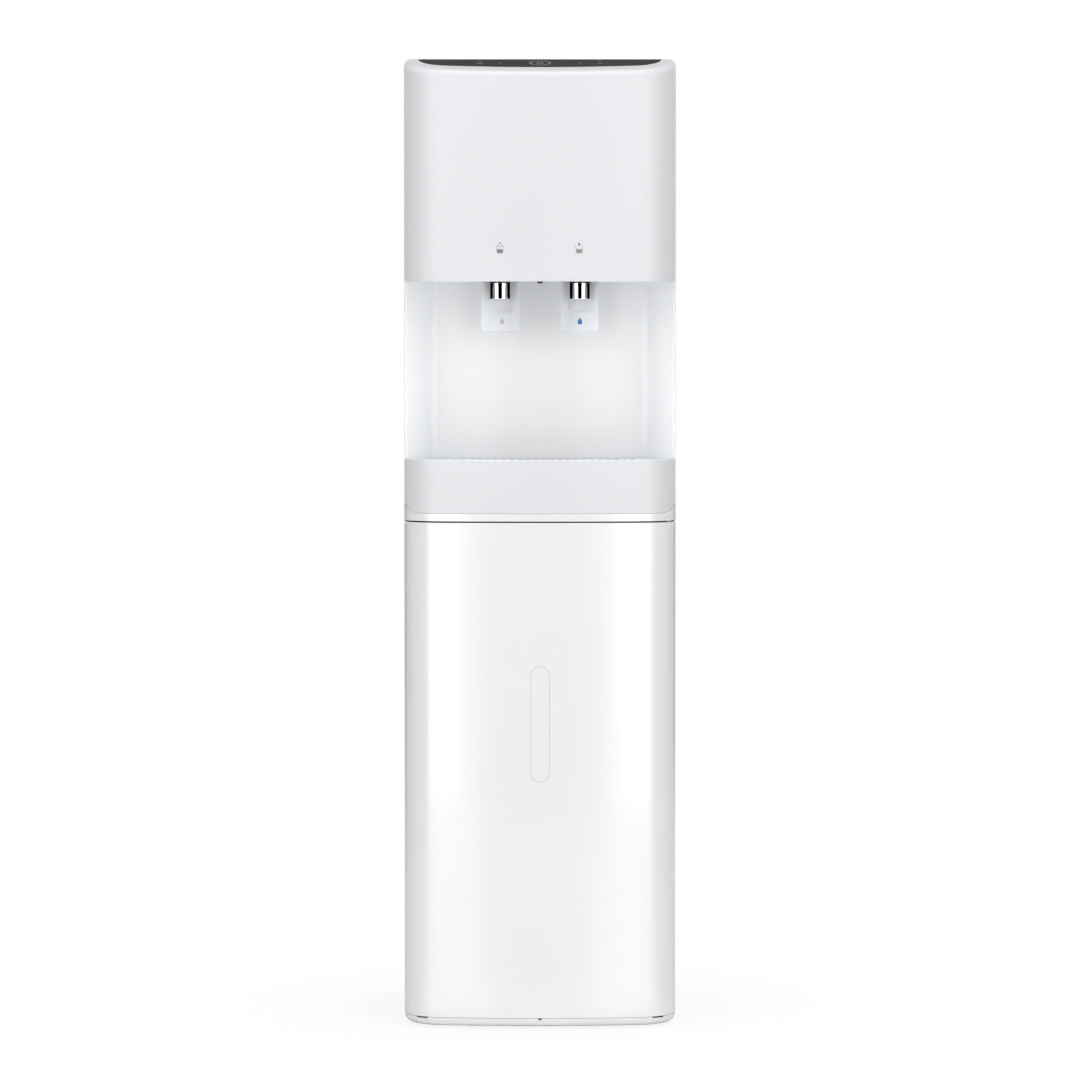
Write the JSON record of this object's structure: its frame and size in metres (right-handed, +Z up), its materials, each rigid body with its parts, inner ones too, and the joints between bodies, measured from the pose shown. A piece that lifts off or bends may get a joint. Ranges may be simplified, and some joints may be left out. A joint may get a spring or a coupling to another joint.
{
  "type": "bottom load water cooler",
  "caption": "Upright floor-standing water dispenser with a bowed door over the bottle bay, a lit niche with push-paddle taps, a pull-out drip tray and a rear condenser.",
  "frame": {"origin": "on the floor, under the middle of the bounding box", "axes": "+Z up, front towards -Y, +X to the right of someone facing the front"},
  "size_m": [0.3, 0.37, 1.068],
  "materials": {
    "satin_white": "satin moulded white",
    "liner_white": "semi-matte moulded white",
    "gloss_white": "glossy white",
    "inner_white": "plain moulded white",
    "panel_paint": "white powder coat",
    "black_glass": "dark tinted glossy panel",
    "chrome": "bright chrome",
    "tip_grey": "grey moulded",
    "lens_clear": "smoked clear lens",
    "grille_grey": "pale grey moulded",
    "zinc_steel": "galvanised sheet",
    "screw_steel": "plated steel",
    "black_paint": "black paint",
    "black_plastic": "black moulded",
    "switch_red": "red moulded",
    "switch_green": "green moulded",
    "stainless": "stainless steel",
    "foam": "white foam",
    "copper": "bare copper",
    "board_green": "solder-masked board",
    "hose_clear": "translucent hose",
    "probe_white": "food-grade white plastic",
    "rubber": "black rubber",
    "magnet": "magnet in dark plastic",
    "brass": "brass body"
  },
  "bodies": {
    "cabinet": {"upper_front_cover": "satin_white", "top_cover": "satin_white", "niche_liner": "liner_white", "dispense_deck": "liner_white", "mid_frame": "gloss_white", "base_pan": "gloss_white", "left_side_panel": "panel_paint", "right_side_panel": "panel_paint", "control_glass": "black_glass", "left_nozzle_sleeve": "chrome", "right_nozzle_sleeve": "chrome", "left_nozzle_tip": "tip_grey", "right_nozzle_tip": "tip_grey", "sensor_lens": "lens_clear", "rear_panel": "zinc_steel", "tank_shelf": "zinc_steel", "rear_screws": "screw_steel", "hinge_pins": "screw_steel", "paddle_pins": "screw_steel", "strike_plate": "screw_steel", "condenser_tube": "black_paint", "condenser_wires": "black_paint", "compressor": "black_paint", "condenser_brackets": "black_paint", "switch_plate": "black_plastic", "drain_spigot": "black_plastic", "cord_gland": "black_plastic", "pump": "black_plastic", "paddle_switches": "black_plastic", "probe_hanger": "black_plastic", "hot_tank": "stainless", "cold_tank": "stainless", "cold_tank_insulation": "foam", "evaporator_coil": "copper", "filter_drier": "copper", "touch_board": "board_green", "main_board": "board_green", "pump_hoses": "hose_clear", "dispense_pipes": "hose_clear", "drain_pipe": "hose_clear", "probe": "probe_white", "hinge_washer": "probe_white", "compressor_grommets": "rubber", "left_dispense_valve": "brass", "right_dispense_valve": "brass"},
    "door": {"door_outer_panel": "gloss_white", "door_inner_panel": "inner_white", "door_inlay": "gloss_white", "door_magnet": "magnet"},
    "left_paddle": {"left_paddle": "liner_white"},
    "right_paddle": {"right_paddle": "liner_white"},
    "drip_tray": {"drip_tray": "satin_white"},
    "drip_grille": {"drip_grille": "grille_grey"},
    "hot_switch": {"hot_switch": "switch_red"},
    "cold_switch": {"cold_switch": "switch_green"},
    "drain_cap": {"drain_cap": "black_plastic"},
    "foot_front_left": {"foot_front_left": "rubber"},
    "foot_front_right": {"foot_front_right": "rubber"},
    "foot_back_left": {"foot_back_left": "rubber"},
    "foot_back_right": {"foot_back_right": "rubber"}
  },
  "joints": [
    {"name": "door_hinge", "type": "hinge", "parent": "cabinet", "child": "door", "pos_m": [0.141, -0.123, 0.3], "axis": [0, 0, 1], "range_deg": [0, 100]},
    {"name": "drip_tray_slide", "type": "slide", "parent": "cabinet", "child": "drip_tray", "axis": [0, -1, 0], "range_m": [0, 0.11]},
    {"name": "drip_grille_lift", "type": "slide", "parent": "drip_tray", "child": "drip_grille", "axis": [0, 0, 1], "range_m": [0, 0.05]},
    {"name": "drain_cap_turn", "type": "hinge", "parent": "cabinet", "child": "drain_cap", "pos_m": [-0.04, 0.172, 0.455], "axis": [0, 1, 0], "continuous": true},
    {"name": "left_paddle_hinge", "type": "hinge", "parent": "cabinet", "child": "left_paddle", "pos_m": [-0.044, -0.102, 0.833], "axis": [1, 0, 0], "range_deg": [0, 8], "stiffness_Nm_per_rad": 0.2, "springref_deg": -5.73},
    {"name": "right_paddle_hinge", "type": "hinge", "parent": "cabinet", "child": "right_paddle", "pos_m": [0.044, -0.102, 0.833], "axis": [1, 0, 0], "range_deg": [0, 8], "stiffness_Nm_per_rad": 0.2, "springref_deg": -5.73},
    {"name": "hot_switch_rocker", "type": "hinge", "parent": "cabinet", "child": "hot_switch", "pos_m": [0.06, 0.159, 0.978], "axis": [1, 0, 0], "range_deg": [-16, 0]},
    {"name": "cold_switch_rocker", "type": "hinge", "parent": "cabinet", "child": "cold_switch", "pos_m": [0.092, 0.159, 0.978], "axis": [1, 0, 0], "range_deg": [-16, 0]},
    {"name": "foot_front_left_turn", "type": "hinge", "parent": "cabinet", "child": "foot_front_left", "pos_m": [-0.112, -0.105, 0.01], "axis": [0, 0, 1], "continuous": true},
    {"name": "foot_front_right_turn", "type": "hinge", "parent": "cabinet", "child": "foot_front_right", "pos_m": [0.112, -0.105, 0.01], "axis": [0, 0, 1], "continuous": true},
    {"name": "foot_back_left_turn", "type": "hinge", "parent": "cabinet", "child": "foot_back_left", "pos_m": [-0.112, 0.125, 0.01], "axis": [0, 0, 1], "continuous": true},
    {"name": "foot_back_right_turn", "type": "hinge", "parent": "cabinet", "child": "foot_back_right", "pos_m": [0.112, 0.125, 0.01], "axis": [0, 0, 1], "continuous": true}
  ]
}
